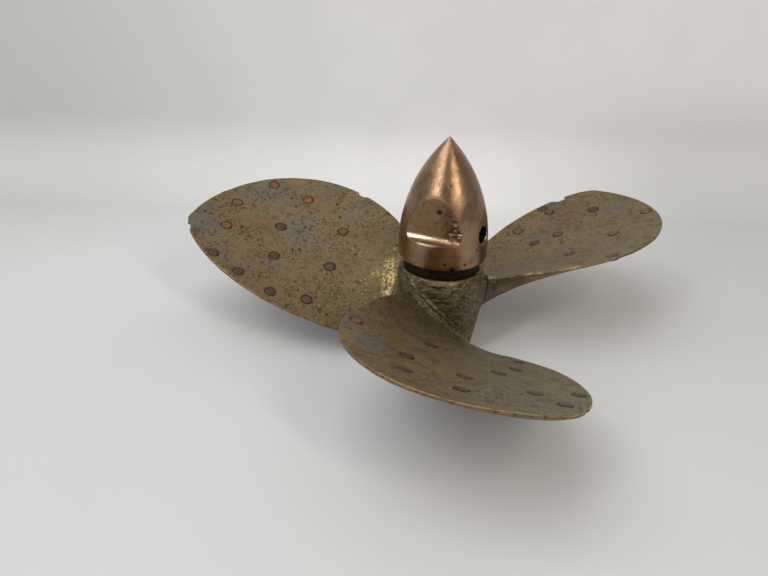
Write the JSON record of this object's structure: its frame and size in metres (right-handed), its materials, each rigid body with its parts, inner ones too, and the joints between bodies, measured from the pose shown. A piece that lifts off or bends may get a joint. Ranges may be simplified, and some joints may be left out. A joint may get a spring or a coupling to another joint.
{
  "type": "boat propeller",
  "caption": "Left-hand boat propeller with broad oval blades on a slim keyed hub, copper plugs set in the blades, and a bullet-shaped nut that unscrews from the shaft end.",
  "frame": {"origin": "on the shaft axis at the hub's forward face, which the propeller stands on", "axes": "+Z along the shaft, pointing aft to the nut; the first blade's root line lies 55.6 degrees clockwise from +X seen from aft"},
  "size_m": [0.2791, 0.2612, 0.1207],
  "materials": {
    "casting": "dull olive-brown patina over sand-cast and filed bronze, pitted, brighter at edges and roots",
    "copper": "oxidised copper, dark brown with red patches, hammered and filed flush",
    "nut": "satin turned bronze, warm reddish brown, lightly pitted, worn bright at edges",
    "washer": "dark oxidised bronze, faced on both sides",
    "shaft": "turned stainless steel, grey, lightly stained",
    "key": "ground key steel"
  },
  "bodies": {
    "propeller": {"propeller_casting": "casting", "shaft_tail": "shaft", "drive_key": "key", "plugs_blade_1_inner": "copper", "plugs_blade_1_middle": "copper", "plugs_blade_1_outer": "copper", "plugs_blade_1_tip": "copper", "plugs_blade_2_inner": "copper", "plugs_blade_2_middle": "copper", "plugs_blade_2_outer": "copper", "plugs_blade_2_tip": "copper", "plugs_blade_3_inner": "copper", "plugs_blade_3_middle": "copper", "plugs_blade_3_outer": "copper", "plugs_blade_3_tip": "copper"},
    "washer": {"thrust_washer": "washer"},
    "nut": {"fairwater_nut": "nut"}
  },
  "joints": [
    {"name": "nut_turn", "type": "hinge", "parent": "propeller", "child": "washer", "pos_m": [0, 0, 0.0495], "axis": [0, 0, 1], "range_deg": [0, 3600]},
    {"name": "nut_rise", "type": "slide", "parent": "washer", "child": "nut", "axis": [0, 0, 1], "range_m": [0, 0.0231]}
  ],
  "couplings": [
    {"joint": "nut_rise", "follows": "nut_turn", "m_per_rad": 0.00036749}
  ]
}
